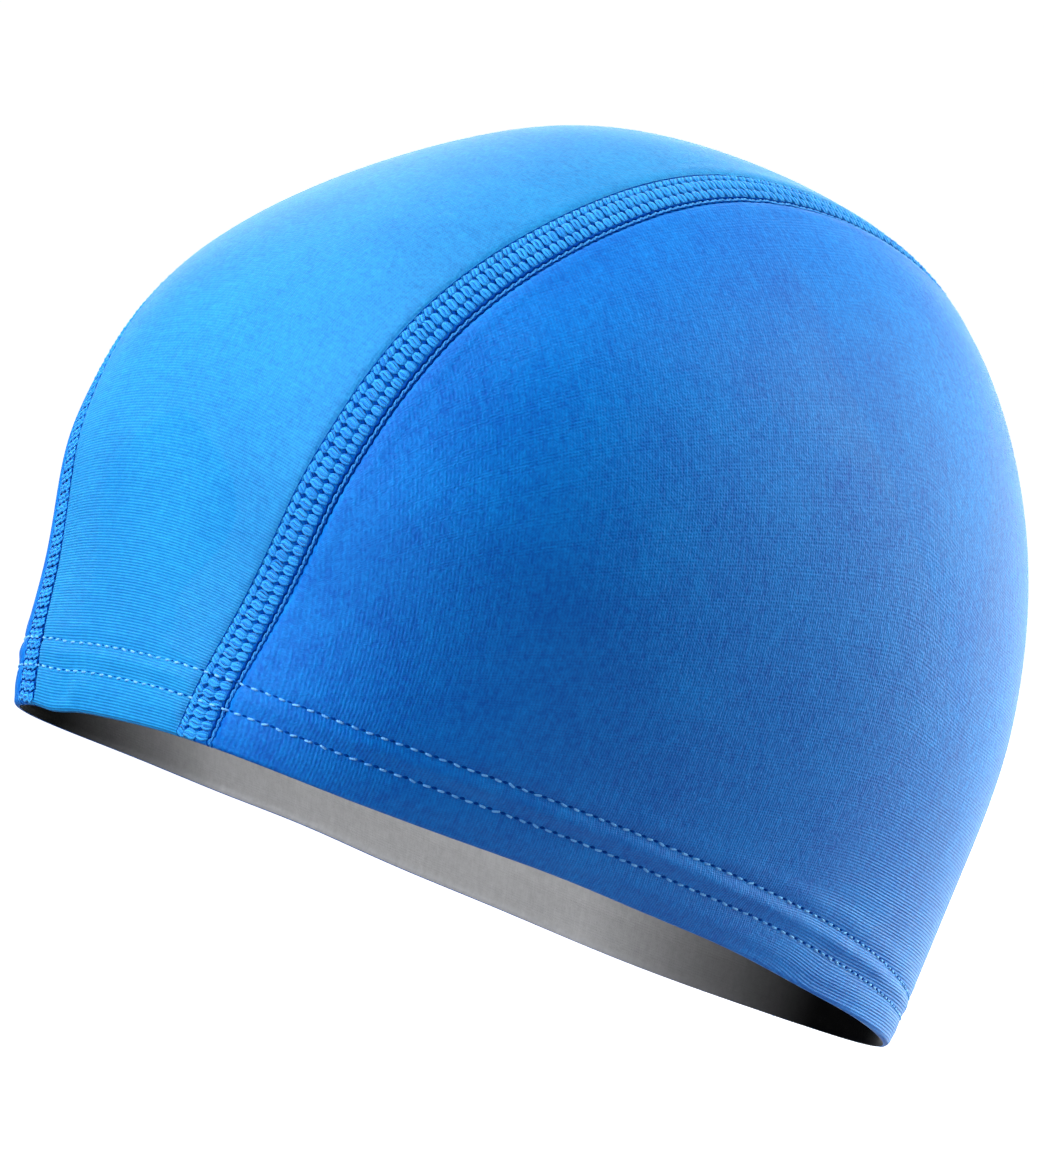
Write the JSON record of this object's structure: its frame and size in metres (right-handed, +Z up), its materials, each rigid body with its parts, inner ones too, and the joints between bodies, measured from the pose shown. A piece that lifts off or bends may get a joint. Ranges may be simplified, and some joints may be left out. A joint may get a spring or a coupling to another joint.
{
  "type": "swim cap",
  "caption": "Knitted swim cap in its worn form: centre panel from brow to nape, two side panels, flatlocked seams and a turned-up hem round an open head hollow.",
  "frame": {"origin": "middle of the head opening, in the plane of the rim, where the cap sits on the wearer", "axes": "+Z up along the upright head, -Y towards the brow, +Y towards the nape, +X towards the wearer's left; the rim plane leans about X, with the brow high and the nape low"},
  "size_m": [0.1586, 0.1993, 0.1869],
  "materials": {
    "cap_fabric": "smooth fine stretch knit with a soft satin sheen, grey on its inner side",
    "seam_thread": "rows of textured stitching thread",
    "hem_fabric": "the same knit turned up and stitched down in two rows"
  },
  "bodies": {
    "root": {"panel_center": "cap_fabric", "panel_left": "cap_fabric", "panel_right": "cap_fabric", "seam_left": "seam_thread", "seam_right": "seam_thread", "hem_band": "hem_fabric"}
  },
  "joints": []
}
